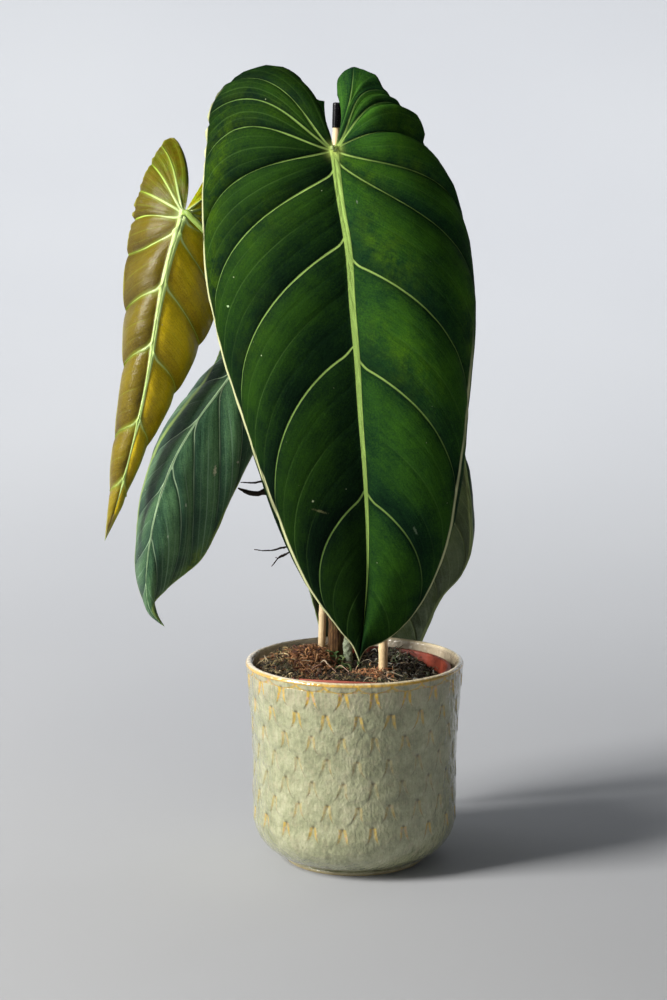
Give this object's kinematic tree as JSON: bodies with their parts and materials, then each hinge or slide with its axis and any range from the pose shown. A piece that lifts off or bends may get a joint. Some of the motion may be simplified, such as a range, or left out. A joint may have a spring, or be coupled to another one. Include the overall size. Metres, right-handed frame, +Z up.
{
  "type": "potted philodendron melanochrysum",
  "caption": "Climbing philodendron with long hanging velvet leaves on canes, in a plastic nursery pot inside a scale-patterned glazed pot.",
  "frame": {"origin": "centre of the glazed pot's flat foot, on the surface that the pot stands on", "axes": "+Z up; the upper side of the largest leaf looks along -Y; +X is to the right as that leaf is seen"},
  "size_m": [0.2607, 0.1958, 0.5396],
  "materials": {
    "sage_glaze": "glossy mottled sage glaze with ochre breaks on the raised lines",
    "terracotta_plastic": "satin terracotta-red plastic",
    "peat_and_moss": "matt, crumbly, with brown moss on top",
    "bamboo": "smooth pale bamboo",
    "black_cap": "glossy black",
    "stem_bark": "papery brown",
    "old_stem": "matt grey-green",
    "petiole_green": "smooth, slightly ribbed",
    "aerial_root": "dry, near black",
    "velvet_leaf": "velvety dark green with pale veins",
    "bronze_leaf": "glossy golden bronze underside with pale raised veins",
    "grey_leaf": "velvety grey-green with fine pale veins",
    "olive_leaf": "satin olive underside"
  },
  "bodies": {
    "root": {"outer_pot": "sage_glaze", "nursery_pot": "terracotta_plastic", "soil": "peat_and_moss", "stake_tall": "bamboo", "stake_short": "bamboo", "stake_cap": "black_cap", "stem": "stem_bark", "stem_stub": "old_stem", "petiole_front": "petiole_green", "petiole_young": "petiole_green", "petiole_left": "petiole_green", "petiole_back": "petiole_green", "aerial_root_upper": "aerial_root", "aerial_root_lower": "aerial_root", "leaf_front": "velvet_leaf", "leaf_young": "bronze_leaf", "leaf_left": "grey_leaf", "leaf_back": "olive_leaf"}
  },
  "joints": []
}
